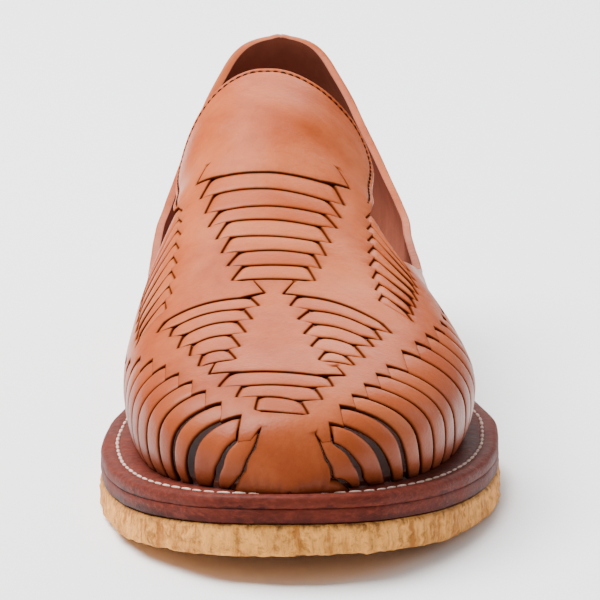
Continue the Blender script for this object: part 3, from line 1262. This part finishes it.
class SHOE_OT_bands(bpy.types.Operator):
    """Woven bands of the vamp and the two side ladders"""
    bl_idname = "slip_on.bands"
    bl_label = "Woven bands"

    def execute(self, context):
        rng = np.random.default_rng(7)
        vamp = Body()
        for ladder, bows in LADDERS:
            for k in range(1, len(ladder)):
                self.band(vamp, line_points(ladder, bows, k),
                          self.low_line(ladder, bows, k), rng.random(), SHINGLE)
        vamp.finish("vamp_bands", upper_leather(), "upper_leather", recalc=True)
        sides = Body()
        for lines in (OUTER_SIDE, INNER_SIDE):
            rows = side_rows(lines)
            for k, row in enumerate(rows):
                up = np.array([(row[0], row[1]), (row[4], row[5])], float)
                down = np.array([(row[2], row[3]), (row[6], row[7])], float)
                profile = CROWN if k == 0 else SHINGLE
                self.band(sides, up, down, rng.random(), profile)
        sides.finish("side_bands", upper_leather(), "upper_leather", recalc=True)
        return {"FINISHED"}

    @staticmethod
    def low_line(ladder, bows, k):
        row = ladder[k]
        inner = line_points(ladder, bows, k + 1)[1:-1]
        return np.array([(row[2], row[3]), *map(tuple, inner), (row[6], row[7])])

    @staticmethod
    def band(body, up, down, tone, profile):
        flat = LAST.flat(np.array([down[0], down[-1]]))
        length = np.linalg.norm(flat[1] - flat[0])
        tuck = 3.2 / length
        ends = np.array([-1.0, -0.35, 0.0, 0.08, 0.18, 0.32, 0.55, 0.85]) * tuck
        middle = np.linspace(1.25 * tuck, 1 - 1.25 * tuck, max(4, int(length / 2.2)))
        t = np.concatenate([ends, middle, 1 - ends[::-1]])
        away = np.minimum(t, 1 - t) * length
        rise = -BAND_DIVE * (1 - smooth((away + 0.2) / 2.6))
        crease = np.clip(1.35 - abs(away) / 0.6, 0, 1) + (away < 0)
        ribbon(body, along(up, t), along(down, t), rise, profile, tone, np.clip(crease, 0, 1))


class SHOE_OT_straps(bpy.types.Operator):
    """Straps that run from the plate's notched edge down into the welt"""
    bl_idname = "slip_on.straps"
    bl_label = "Straps"

    def execute(self, context):
        rng = np.random.default_rng(21)
        body = Body()
        for side, rows, front in ((1, OUTER_STRAPS, OUTER_FRONT_STRAP),
                                  (-1, INNER_STRAPS, INNER_FRONT_STRAP)):
            lines = strap_edges(rows, side)
            for k in range(len(lines) - 1):
                gap = (0.03, 0.09)
                if k >= len(lines) - 4:
                    gap = ((0.04, 0.12), (0.06, 0.22), (0.2, 0.42))[k - len(lines) + 4]
                self.strap(body, lines[k], lines[k + 1], gap, rng.random())
            last = lines[-1]
            edge = np.array(front[0], float)
            self.strap(body, last, np.concatenate([edge[1:2] + (0.3, 0), edge[1:]]), (0.16, 0.42),
                       rng.random())
            self.strap(body, np.array(front[0], float), np.array(front[1], float), (0.04, 0.14),
                       rng.random())
        body.finish("welt_straps", upper_leather(), "upper_leather", recalc=True)
        return {"FINISHED"}

    @staticmethod
    def strap(body, up, down, gap, tone):
        """Strap between two lines, drawn in at its foot so that the gaps widen."""
        t = np.concatenate([[-0.1, -0.04, 0, 0.015, 0.035, 0.07], np.linspace(0.11, 1.04, 22)])
        a, b = along(up, t), along(down, t)
        share = (gap[0] + (gap[1] - gap[0]) * smooth(t))[:, None]
        a, b = a + (b - a) * share * 0.5, b + (a - b) * share * 0.5
        length = 30.0
        away = t * length
        rise = -BAND_DIVE * (1 - smooth((away + 0.3) / 3.0)) - 0.6 * smooth((t - 0.8) / 0.25)
        crease = np.clip(np.clip(1.2 - abs(away) / 0.8, 0, 1) + (away < 0), 0, 1)
        crease = np.maximum(crease, 0.8 * smooth((t - 0.93) / 0.07))
        ribbon(body, a, b, rise, CROWN, tone, crease)


class SHOE_OT_stage(bpy.types.Operator):
    """Floor, soft studio light and camera"""
    bl_idname = "slip_on.stage"
    bl_label = "Stage"

    def execute(self, context):
        mesh = bpy.data.meshes.new("floor")
        size, back = 12.0, 12.0
        points, faces, n = [], [], 24
        for i in range(n + 1):
            if i < 8:
                y, z = -size + (size + back - 1.0) * i / 8, 0.0
            else:
                angle = (i - 8) / (n - 8) * math.pi / 2
                y, z = back - 1.0 + math.sin(angle), 1.0 - math.cos(angle)
            points += [(-size, y, z), (size, y, z)]
        points += [(-size, back, 8.0), (size, back, 8.0)]
        for i in range(n + 1):
            faces.append((2 * i, 2 * i + 1, 2 * i + 3, 2 * i + 2))
        mesh.from_pydata(points, [], faces)
        mesh.shade_smooth()
        floor = bpy.data.objects.new("floor", mesh)
        context.scene.collection.objects.link(floor)
        n = Nodes("floor_paint")
        n.shader.inputs["Base Color"].default_value = (0.9, 0.9, 0.9, 1)
        n.shader.inputs["Roughness"].default_value = 0.9
        n.shader.inputs["Specular IOR Level"].default_value = 0.1
        mesh.materials.append(n.material)
        world = bpy.data.worlds.new("studio")
        world.use_nodes = True
        world.node_tree.nodes["Background"].inputs[0].default_value = (0.95, 0.97, 1.0, 1)
        world.node_tree.nodes["Background"].inputs[1].default_value = 0.45
        context.scene.world = world
        lights = (("key", (-0.7, 0.2, 1.62), 1.4, 122.0), ("back", (0.1, 1.3, 0.95), 1.0, 12.0),
                  ("side", (1.5, 0.6, 0.6), 0.8, 6.0))
        for name, place, size, power in lights:
            light = bpy.data.lights.new(name, "AREA")
            light.shape, light.size, light.energy = "SQUARE", size, power
            obj = bpy.data.objects.new(name, light)
            obj.location = place
            aim = Vector((0, 0, 0.04)) - Vector(place)
            obj.rotation_euler = aim.to_track_quat("-Z", "Y").to_euler()
            context.scene.collection.objects.link(obj)
        camera = bpy.data.cameras.new("camera")
        camera.sensor_width, camera.lens = 36.0, 318.0
        camera.clip_start, camera.clip_end = 0.05, 50.0
        obj = bpy.data.objects.new("camera", camera)
        obj.location = CAMERA_PLACE
        aim = Vector(CAMERA_AIM) - Vector(CAMERA_PLACE)
        obj.rotation_euler = aim.to_track_quat("-Z", "Y").to_euler()
        context.scene.collection.objects.link(obj)
        context.scene.camera = obj
        return {"FINISHED"}


CAMERA_TARGET = Vector((-X_MID, 100 - LENGTH / 2, 30)) * MM
CAMERA_AZIMUTH, CAMERA_RISE, CAMERA_DISTANCE = math.radians(-1.5), math.radians(14.3), 1.4
CAMERA_PLACE = CAMERA_TARGET + CAMERA_DISTANCE * Vector((
    math.sin(CAMERA_AZIMUTH) * math.cos(CAMERA_RISE),
    -math.cos(CAMERA_AZIMUTH) * math.cos(CAMERA_RISE), math.sin(CAMERA_RISE)))
CAMERA_AIM = (0.0014, 0.0, 0.0375)

PIECES = (SHOE_OT_outsole, SHOE_OT_welt, SHOE_OT_insole, SHOE_OT_upper, SHOE_OT_bands,
          SHOE_OT_straps, SHOE_OT_stage)


class SHOE_PT_panel(bpy.types.Panel):
    """Lists the sizes, colours and pieces"""
    bl_label = "Slip-on"
    bl_idname = "SHOE_PT_panel"
    bl_space_type = "VIEW_3D"
    bl_region_type = "UI"
    bl_category = "Slip-on"

    def draw(self, context):
        for group in settings():
            for key in group.__annotations__:
                self.layout.prop(group, key)
        for piece in PIECES:
            self.layout.operator(piece.bl_idname)


CLASSES = (SHOE_PG_sizes, SHOE_PG_colors, *PIECES, SHOE_PT_panel)


def register():
    for item in CLASSES:
        bpy.utils.register_class(item)
    bpy.types.Scene.slip_on_sizes = bpy.props.PointerProperty(type=SHOE_PG_sizes)
    bpy.types.Scene.slip_on_colors = bpy.props.PointerProperty(type=SHOE_PG_colors)


def unregister():
    del bpy.types.Scene.slip_on_colors
    del bpy.types.Scene.slip_on_sizes
    for item in reversed(CLASSES):
        bpy.utils.unregister_class(item)


def main():
    register()
    for piece in PIECES:
        group, name = piece.bl_idname.split(".")
        getattr(getattr(bpy.ops, group), name)()


if __name__ == "__main__":
    main()
